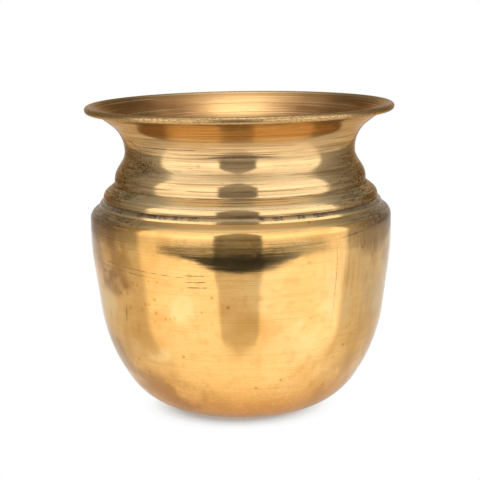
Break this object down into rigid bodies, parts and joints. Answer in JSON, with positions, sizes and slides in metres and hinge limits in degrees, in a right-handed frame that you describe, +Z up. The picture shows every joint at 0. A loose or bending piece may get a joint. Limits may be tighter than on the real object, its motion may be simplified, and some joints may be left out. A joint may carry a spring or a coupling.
{
  "type": "kalash pot",
  "caption": "Round-bellied brass water pot with a flat base, stepped shoulder, narrow throat and a flared mouth with a rolled rim.",
  "frame": {"origin": "centre of the flat base, on the surface the pot stands on", "axes": "+Z up along the turning axis, out of the mouth; -Y towards the viewer of the picture; +X to the viewer's right"},
  "size_m": [0.105, 0.105, 0.1043],
  "materials": {
    "bowl_brass": "lathe polished, lightly tarnished",
    "neck_brass": "lathe polished, lightly tarnished",
    "brazing_filler": "dull, oxidised",
    "wire_brass": "drawn"
  },
  "bodies": {
    "root": {"bowl": "bowl_brass", "neck": "neck_brass", "seam_braze": "brazing_filler", "rim_wire": "wire_brass"}
  },
  "joints": []
}
